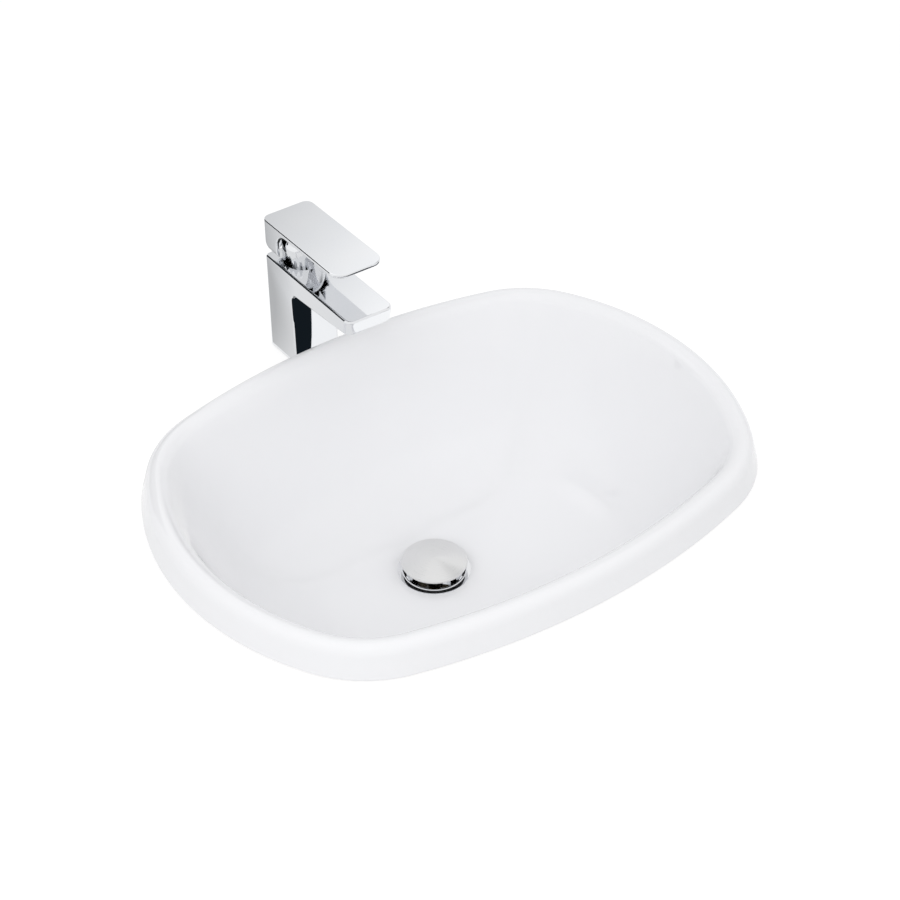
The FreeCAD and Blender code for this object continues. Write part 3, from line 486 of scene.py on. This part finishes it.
# %% Lever
LEVER_TOP, LEVER_UNDER, HEEL_BOTTOM = 156.0, 151.0, 119.0
LEVER_FRONT, HEEL_FRONT, LEVER_WIDTH = 148.0, 257.0, 57.0
HEEL_SWING = 25.5


def heel_edges(bm):
    """Edges on both sides, down the lever's back, round its lower corner and along the heel's foot."""
    picked = []
    for edge in bm.edges:
        first, second = (vert.co for vert in edge.verts)
        same_side = abs(first.x - second.x) < 0.1
        on_heel = max(first.y, second.y) > HEEL_FRONT + 0.1
        below_top = min(first.z, second.z) < LEVER_TOP - 0.1
        if same_side and on_heel and below_top:
            picked.append(edge)
    return picked


lever = bmesh.new()
slab(lever, [
    (COLUMN_REAR, HEEL_BOTTOM, 12),
    (COLUMN_REAR, LEVER_TOP),
    (LEVER_FRONT, LEVER_TOP),
    (LEVER_FRONT, LEVER_TOP - 3.6),
    (HEEL_FRONT, LEVER_UNDER, 17),
    (HEEL_FRONT, HEEL_BOTTOM),
], LEVER_WIDTH)
round_edges(lever, uprights(lever, LEVER_FRONT, LEVER_WIDTH / 2), 14, 14)
round_edges(lever, heel_edges(lever), 9, 10)
round_edges(lever, sharp_edges(lever, 0), 1.2, 4)
mixer_lever = finish_piece("mixer_lever", lever, "handle", "chrome", "lever")
drill(mixer_lever, [(LEVER_Y, HEEL_SWING, HEEL_BOTTOM - 5, LEVER_UNDER - 0.1)])

boss = bmesh.new()
turn_section(boss, [(0, 152), (7.5, 152), (7.5, 144, 0.8), (4.9, 144, 0.3), (4.9, 146.5), (0, 146.5)],
             Vector((0, LEVER_Y, 0)), 64, closed=False)
lever_boss = finish_piece("lever_boss", boss, "handle", "chrome")

# %% Aerator ring and fixing stud
aerator = bmesh.new()
turn_section(aerator, [
    (9.7, 88.2, 0.3),
    (11.0, 88.2, 0.5),
    (11.5, 88.8, 0.5),
    (11.5, 103),
    (9.7, 103),
], Vector((0, AERATOR_Y, 0)), 96)
aerator_ring = finish_piece("aerator_ring", aerator, "basin", "chrome", "aerator_housing")

STUD = Vector((0, 269, 0))
STUD_LOW, STUD_HIGH, STUD_RADIUS = -60.5, 13.5, 3.9
stud = bmesh.new()
turn_section(stud, [(0, STUD_LOW), (3.2, STUD_LOW, 0.3), (3.2, STUD_HIGH, 0.3), (0, STUD_HIGH)],
             STUD, 48, closed=False)
stud_bar = finish_piece("stud_bar", stud, "basin", "steel", "fixing_stud")
stud_ridge = bmesh.new()
thread_ridge(stud_ridge, STUD, STUD_RADIUS, 0.7, 1.25, STUD_LOW + 0.8, STUD_HIGH, 32)
stud_thread = finish_piece("stud_thread", stud_ridge, "basin", "steel")

# %% [markdown]
# ## Writing a finish
# A finish is a small node tree. Its arithmetic reads best as ordinary sums, so a socket is wrapped in a class
# whose operators add Math nodes, and one method makes every other node: first its settings, then its inputs.
# Only colour, roughness and bump change over a surface. What is the same all over is set on the shader.

# %% Sockets that can be added and multiplied
class Value:
    """Output of a node. Sums with it add a Math node each."""

    def __init__(self, finish, socket):
        self.finish, self.socket = finish, socket

    def math(self, operation, *inputs):
        return self.finish.node("ShaderNodeMath", {"operation": operation}, dict(enumerate(inputs)))

    def __add__(self, other):
        return self.math("ADD", self, other)

    def __sub__(self, other):
        return self.math("SUBTRACT", self, other)

    def __mul__(self, other):
        return self.math("MULTIPLY", self, other)

    __radd__, __rmul__ = __add__, __mul__


class Finish:
    """A material under construction."""

    def __init__(self, name):
        self.material = bpy.data.materials.new(name)
        self.material.use_nodes = True
        self.tree = self.material.node_tree
        self.tree.nodes.clear()

    def node(self, kind, settings=None, inputs=None, output=0):
        made = self.tree.nodes.new(kind)
        for key, value in (settings or {}).items():
            setattr(made, key, value)
        for key, value in (inputs or {}).items():
            if isinstance(value, Value):
                self.tree.links.new(value.socket, made.inputs[key])
            else:
                made.inputs[key].default_value = value
        return Value(self, made.outputs[output]) if made.outputs else None

    def place(self, centre=(0, 0, 0)):
        """Object coordinates, measured from a centre in metres."""
        place = self.node("ShaderNodeTexCoord", output="Object")
        return self.node("ShaderNodeVectorMath", {"operation": "SUBTRACT"}, {0: place, 1: centre})

    def noise(self, place, scale, detail=2.0):
        return self.node("ShaderNodeTexNoise", {}, {"Vector": place, "Scale": scale, "Detail": detail})

    def blend(self, share, first, second):
        """Colour between two colours."""
        return self.node("ShaderNodeMix", {"data_type": "RGBA"},
                         {"Factor": share, 6: first, 7: second}, output=2)

    def bump(self, height, distance, strength=1.0):
        return self.node("ShaderNodeBump", {}, {"Height": height, "Distance": distance, "Strength": strength})

    def surface(self, **inputs):
        """Principled shader, its sockets named with underscores for spaces, joined to the output."""
        named = {key.replace("_", " "): value for key, value in inputs.items()}
        shader = self.node("ShaderNodeBsdfPrincipled", {}, named)
        self.node("ShaderNodeOutputMaterial", {}, {"Surface": shader})
        return self.material


def grey(level, warm=0.0):
    return (level + warm, level, level - warm, 1)


print("a Value takes", [name for name in vars(Value) if name in ("__add__", "__sub__", "__mul__")])

# %% [markdown]
# ## Glazed china
# Sanitary glaze is a thick, glassy white coat. It is nearly even, with a faint orange-peel ripple from the
# kiln, a slightly cooler tint where it pooled, and a rough bare band of fired clay where the rim stood in the
# kiln. The peel is a small bump, and the tint a wide noise, because a flat white would look like plastic. The
# band that stood in the kiln is a material of its own, given to the faces of the foot alone.

# %% China
GLAZE = (0.918, 0.918, 0.93, 1)
GLAZE_POOLED = (0.90, 0.902, 0.92, 1)

coat = Finish("sanitary_glaze")
place = coat.place()
cloud = coat.noise(place, 9.0)
peel = coat.noise(place, 190.0, 1.0)
glaze = coat.surface(
    Base_Color=coat.blend(cloud * 0.5, GLAZE, GLAZE_POOLED),
    Roughness=0.04 + cloud * 0.05,
    Normal=coat.bump(peel, 0.00003),
    IOR=1.52)
print(glaze.name, "has", len(coat.tree.nodes), "nodes")

# %% [markdown]
# ## Metals
# Polished chrome is a mirror that never lies quite flat: a wide, shallow wave in the buffed brass below, and
# a roughness that drifts a little where hands and cloths have been. The cap is brushed in circles instead, so
# its roughness and bump follow rings about the drain, and its highlight is drawn out across them.

# %% Chrome
CHROME = (0.80, 0.805, 0.815, 1)
CHROME_COOL = (0.76, 0.775, 0.80, 1)

chrome = Finish("polished_chrome")
place = chrome.place()
wave = chrome.noise(place, 22.0, 1.0)
smear = chrome.noise(place, 60.0, 3.0)
polished = chrome.surface(
    Base_Color=chrome.blend(wave, CHROME, CHROME_COOL),
    Metallic=1.0,
    Roughness=0.02 + smear * 0.05,
    Normal=chrome.bump(wave, 0.0001, 0.35))
print(polished.name, "has", len(chrome.tree.nodes), "nodes")

# %% Brushed chrome of the cap
RING_SCALE, TURN_SCALE = 2600.0, 1.4

brushed = Finish("circular_brushed_chrome")
place = brushed.place((0, DRAIN_Y * MM, 0))
flat = brushed.node("ShaderNodeVectorMath", {"operation": "MULTIPLY"}, {0: place, 1: (1, 1, 0)})
radius = brushed.node("ShaderNodeVectorMath", {"operation": "LENGTH"}, {0: flat}, output="Value")
around = brushed.node("ShaderNodeVectorMath", {"operation": "NORMALIZE"}, {0: flat})
rings = brushed.node("ShaderNodeCombineXYZ", {}, {"X": radius * RING_SCALE})
slow = brushed.node("ShaderNodeVectorMath", {"operation": "SCALE"}, {0: around, "Scale": TURN_SCALE})
lines = brushed.noise(brushed.node("ShaderNodeVectorMath", {}, {0: rings, 1: slow}), 1.0, 3.0)
sweep = brushed.noise(around, 1.7, 1.0)
satin = brushed.surface(
    Base_Color=brushed.blend(lines, grey(0.74), grey(0.82)),
    Metallic=1.0,
    Roughness=0.20 + lines * 0.16 + sweep * 0.05,
    Normal=brushed.bump(lines, 0.00002, 0.5),
    Anisotropic=0.8,
    Anisotropic_Rotation=0.25)
print(satin.name, "has", len(brushed.tree.nodes), "nodes")

# %% [markdown]
# ## The finishes out of sight
# Under the counter and inside the dome are brass, zinc-plated steel, rubber, sealant, plastics and the hard
# polished discs. Each gets a colour that drifts, a grain of its own size, and a bump to match: turning lines
# on the brass, a crystal mottle on the zinc, a fine tooth on rubber and moulded plastic. A row of the table
# is the light and the dark colour, metallic, roughness, its spread, the grain's scale and the bump's depth.

# %% Grained finishes from one recipe
GRAINED = {
    "bare_clay": ((0.70, 0.66, 0.60, 1), (0.62, 0.57, 0.50, 1), 0.0, 0.70, 0.20, 600.0, 0.00008),
    "turned_brass": ((0.66, 0.47, 0.20, 1), (0.52, 0.36, 0.15, 1), 1.0, 0.22, 0.20, 900.0, 0.00003),
    # The next row is a brass painted almost black: painted shade of the deep throat under the cap, not a
    # colour of the brass.
    "painted_shade_brass": ((0.055, 0.045, 0.030, 1), (0.030, 0.026, 0.020, 1), 1.0, 0.16, 0.20, 700.0, 0.00003),
    "zinc_steel": ((0.66, 0.67, 0.69, 1), (0.50, 0.51, 0.53, 1), 1.0, 0.26, 0.18, 420.0, 0.00002),
    "black_rubber": ((0.020, 0.020, 0.022, 1), (0.011, 0.011, 0.012, 1), 0.0, 0.50, 0.20, 1500.0, 0.00004),
    "bedding_sealant": ((0.80, 0.80, 0.80, 1), (0.72, 0.73, 0.73, 1), 0.0, 0.32, 0.16, 260.0, 0.00015),
    "white_plastic": ((0.80, 0.80, 0.79, 1), (0.74, 0.74, 0.72, 1), 0.0, 0.34, 0.14, 1300.0, 0.00002),
    "grey_plastic": ((0.24, 0.25, 0.26, 1), (0.19, 0.195, 0.205, 1), 0.0, 0.38, 0.16, 1300.0, 0.00002),
    "disc_ceramic": ((0.86, 0.84, 0.79, 1), (0.80, 0.77, 0.71, 1), 0.0, 0.10, 0.10, 700.0, 0.00001),
}
grained = {}
for name, (light, dark, metal, smooth, spread, scale, depth) in GRAINED.items():
    finish = Finish(name)
    place = finish.place()
    if "brass" in name:
        place = finish.node("ShaderNodeVectorMath", {"operation": "MULTIPLY"}, {0: place, 1: (0.05, 0.05, 2)})
    drift = finish.noise(place, scale / 12)
    grain = finish.noise(place, scale, 3.0)
    grained[name] = finish.surface(
        Base_Color=finish.blend(drift, light, dark),
        Metallic=metal,
        Roughness=smooth + grain * spread,
        Normal=finish.bump(grain, depth))
print("finishes:", ", ".join(grained))

# %% [markdown]
# ## Dressing the pieces
# The record names a material slot for every node of the solid model. A table from slot to finish dresses the
# nodes that stay as they are, and the new pieces get theirs by name.

# %% Finishes by slot
FINISH_OF_SLOT = {
    "china": glaze,
    "chrome": polished,
    "sealant": grained["bedding_sealant"],
    "brass": grained["turned_brass"],
    "black_rubber": grained["black_rubber"],
    "steel": grained["zinc_steel"],
    "white_plastic": grained["white_plastic"],
    "grey_plastic": grained["grey_plastic"],
    "disc_ceramic": grained["disc_ceramic"],
}


def dress(piece, finish):
    piece.data.materials.clear()
    piece.data.materials.append(finish)


for part in frame["record"]["subparts"]:
    dress(frame["nodes"][part["node"]], FINISH_OF_SLOT[part["material_slot"]])
# Painted shade: the spider and click sleeve, seen in the throat under the cap, get the brass that is painted
# almost black.
for name in ("waste_spider", "click_sleeve"):
    dress(frame["nodes"][name], grained["painted_shade_brass"])
dress(basin, glaze)
basin.data.materials.append(grained["bare_clay"])
foot = [face for face in basin.data.polygons
        if face.normal.z < -0.9 and abs(face.center.z - RIM_BASE * MM) < 1e-4]
for face in foot:
    face.material_index = 1
dress(plug_cap, satin)
dress(plug_ring, grained["black_rubber"])
for piece in (waste_flange, waste_thread, mixer_body, mixer_dome, mixer_lever, lever_boss, aerator_ring):
    dress(piece, polished)
for piece in (stud_bar, stud_thread):
    dress(piece, grained["zinc_steel"])
print("dressed", len(frame["nodes"]), "nodes;", len(foot), "faces of the foot are bare clay")

# %% [markdown]
# ## The studio
# The counter is the floor: a plain pale sheet with the basin's cut-out in it, carried round the same arcs as
# the rim. The photograph's ground is white, so to the camera and to mirrors the floor and the sky answer with
# their own white, while a part of the floor's light is still real, and the basin's soft shadow stays in it.

# %% Counter
CUTOUT_INSET, FLOOR_REACH = 13.0, 4000.0

sheet = bmesh.new()
section(sheet, [(CUTOUT_INSET, 0), (-FLOOR_REACH, 0)], at_short_end)
carry_round(sheet)
counter = finish_piece("counter", sheet, None, None)


def shown_directly(finish):
    """1 for what the camera, a mirror or clear glass shows, 0 for light on its way to a dull surface."""
    path = {}
    for ray in ("Is Camera Ray", "Is Glossy Ray", "Is Transmission Ray"):
        path[ray] = finish.node("ShaderNodeLightPath", output=ray)
    return path["Is Camera Ray"] + path["Is Glossy Ray"] + path["Is Transmission Ray"]


FLOOR_LIGHT, FLOOR_DARK, FLOOR_FAINT, FLOOR_GLOW = 0.80, 0.78, 0.30, 0.78
pale = Finish("pale_floor")
grain = pale.noise(pale.place(), 40.0)
sheet_colour = pale.blend(grain, grey(FLOOR_LIGHT), grey(FLOOR_DARK))
dull = pale.node("ShaderNodeBsdfDiffuse", {}, {"Color": sheet_colour})
faint = pale.node("ShaderNodeBsdfDiffuse", {}, {"Color": grey(FLOOR_FAINT)})
glow = pale.node("ShaderNodeEmission", {}, {"Color": grey(1), "Strength": FLOOR_GLOW})
bright = pale.node("ShaderNodeAddShader", {}, {0: faint, 1: glow})
pale.node("ShaderNodeOutputMaterial", {}, {"Surface": pale.node(
    "ShaderNodeMixShader", {}, {0: shown_directly(pale), 1: dull, 2: bright})})
dress(counter, pale.material)

# %% Sky and lamps
SKY_LIGHT = 0.65


class Sky(Finish):
    """The world's node tree, built in the same way as a finish."""

    def __init__(self, name):
        self.world = bpy.data.worlds.new(name)
        self.world.use_nodes = True
        self.tree = self.world.node_tree
        self.tree.nodes.clear()


sky = Sky("white_studio")
seen = shown_directly(sky)
light = sky.node("ShaderNodeBackground", {}, {"Color": (0.985, 0.99, 1, 1), "Strength": SKY_LIGHT})
white = sky.node("ShaderNodeBackground", {}, {"Color": grey(1), "Strength": 1.0})
either = sky.node("ShaderNodeMixShader", {}, {0: seen, 1: light, 2: white})
sky.node("ShaderNodeOutputWorld", {}, {"Surface": either})
scene.world = sky.world

LAMPS = {
    "top_softbox": ((0.0, 0.05, 2.0), 1.6, 4.0),
    "left_softbox": ((-1.5, -0.9, 1.5), 2.0, 16.5),
    "right_softbox": ((1.2, -1.4, 1.5), 2.0, 6.5),
}
for name, (spot, size, watts) in LAMPS.items():
    lamp = bpy.data.lights.new(name, "AREA")
    lamp.shape, lamp.size, lamp.energy = "SQUARE", size, watts
    stand = bpy.data.objects.new(name, lamp)
    stand.location = spot
    stand.rotation_euler = (-Vector(spot)).to_track_quat("-Z", "Y").to_euler()
    stand.visible_camera = False
    stand.visible_glossy = False
    scene.collection.objects.link(stand)
print("lamps:", ", ".join(f"{name} {watts} W" for name, (_, _, watts) in LAMPS.items()))

# %% [markdown]
# ## Flags and reflectors
# A mirror in an all-white room looks like paper. Photographers stand black and grey cards beside chrome so
# that its edges and faces read. These cards are seen only in reflections, only from the side that they face,
# and cast no shadow. Each is one square of a grid, placed by a matrix. To a ray from farther off than its
# reach a card is clear, because the glaze of the bowl would show a card that is meant for the tap as a line.
# The two cards over the cap fade toward their edges, and two others run from one grey to another. A row is
# the card's centre, the way it faces, its size and its reach in millimetres, and its grey.

# %% Cards
CARD_COOL = -0.004
CARDS = {
    "column_flag": ((-20, 233, 43), (0, 1, 0), (35, 86), 200, 0.012),
    "column_reflector": ((17, 233, 43), (0, 1, 0), (38, 86), 200, 1.1),
    "tip_reflector": ((6.5, 124, 92), (-0.435, 0.57, 0.7), (64, 26), 200, 1.15),
    "lever_flag": ((8, 130, 140.5), (-0.435, 0.72, 0.54), (90, 9), 200, 0.012),
    "edge_flag": ((-240, 460, 275), (0, -1, 0), (360, 410), 520, 0.03),
    "side_reflector": ((-139, 300, 2), (0, 0, 1), (223, 500), 520, 0.90),
    "top_reflector": ((304, 719, 535), (-0.435, -0.719, -0.542), (700, 700), 850, 1.15),
    "cap_flag": ((376, 116, 455), (-0.54, -0.12, -0.835), (380, 380), 900, 0.30),
    "cap_reflector": ((-33, 415, 455), (0.05, -0.55, -0.835), (380, 380), 900, 1.5),
}
SHADED = {
    "side_reflector": ((1.65, 1, 0), 185, 245, 0.55),
    "top_reflector": ((0, 1, 0), 651, 787, 0.72),
}
SOFT, SOFT_FROM, SOFT_TO = ("cap_flag", "cap_reflector"), 0.1, 1.001

for name, (centre, facing, size, reach, level) in CARDS.items():
    facing = Vector(facing).normalized()
    across = Vector((0, 1, 0)).cross(facing) if abs(facing.z) > 0.9 else Vector((0, 0, 1)).cross(facing)
    across.normalize()
    up = facing.cross(across)
    turn = Matrix((across * size[0], up * size[1], facing)).transposed().to_4x4()
    square = bmesh.new()
    square.loops.layers.uv.new("card")
    bmesh.ops.create_grid(square, x_segments=1, y_segments=1, size=0.5,
                          matrix=Matrix.Translation(centre) @ turn, calc_uvs=True)
    bmesh.ops.scale(square, vec=(MM, MM, MM), verts=square.verts)
    mesh = bpy.data.meshes.new(name)
    square.to_mesh(mesh)
    square.free()
    card = bpy.data.objects.new(name, mesh)
    scene.collection.objects.link(card)

    finish = Finish(name)
    tint = grey(level, CARD_COOL)
    if name in SHADED:
        along, start, end, last = SHADED[name]
        run = finish.node("ShaderNodeVectorMath", {"operation": "DOT_PRODUCT"},
                          {0: finish.place(), 1: along}, output="Value")
        share = (run - start * MM) * (1 / (end - start) / MM)
        tint = finish.blend(share, tint, grey(last, CARD_COOL))
    tone = finish.node("ShaderNodeEmission", {}, {"Color": tint})
    behind = finish.node("ShaderNodeNewGeometry", output="Backfacing")
    length = finish.node("ShaderNodeLightPath", output="Ray Length")
    gone = behind.math("MAXIMUM", behind, length.math("GREATER_THAN", length, reach * MM))
    if name in SOFT:
        spot = finish.node("ShaderNodeTexCoord", output="UV")
        spot = finish.node("ShaderNodeVectorMath", {"operation": "SUBTRACT"}, {0: spot, 1: (0.5, 0.5, 0)})
        out = finish.node("ShaderNodeVectorMath", {"operation": "LENGTH"}, {0: spot}, output="Value")
        fade = finish.node("ShaderNodeMapRange", {"interpolation_type": "SMOOTHSTEP"},
                           {"Value": out * 2, "From Min": SOFT_FROM, "From Max": SOFT_TO})
        gone = gone.math("MAXIMUM", gone, fade)
    clear = finish.node("ShaderNodeBsdfTransparent")
    finish.node("ShaderNodeOutputMaterial", {}, {"Surface": finish.node(
        "ShaderNodeMixShader", {}, {0: gone, 1: tone, 2: clear})})
    dress(card, finish.material)
    card.visible_camera = card.visible_diffuse = card.visible_shadow = False
    card.visible_transmission = card.visible_volume_scatter = False
print("cards:", ", ".join(CARDS))

# %% [markdown]
# ## The camera
# A camera fitted to the rim's outline in the photograph stands two metres off, front left and well above. A
# long lens at that distance keeps the same gentle perspective.

# %% Camera and picture settings
TARGET = Vector((0.01965, 0.03093, 0))
DISTANCE, AZIMUTH, ELEVATION = 2.0, radians(-36.21), radians(39.02)
SENSOR, FOCAL_PIXELS, PICTURE_PIXELS = 36, 2051, 900
LENS = SENSOR * FOCAL_PIXELS / PICTURE_PIXELS

toward = Vector((sin(AZIMUTH) * cos(ELEVATION), -cos(AZIMUTH) * cos(ELEVATION), sin(ELEVATION)))
lens = bpy.data.cameras.new("camera")
lens.sensor_width, lens.lens = SENSOR, LENS
camera = bpy.data.objects.new("camera", lens)
camera.location = TARGET + toward * DISTANCE
camera.rotation_euler = toward.to_track_quat("Z", "Y").to_euler()
scene.collection.objects.link(camera)
scene.camera = camera
scene.view_settings.view_transform = "Standard"
print("camera at", tuple(round(c, 3) for c in camera.location))
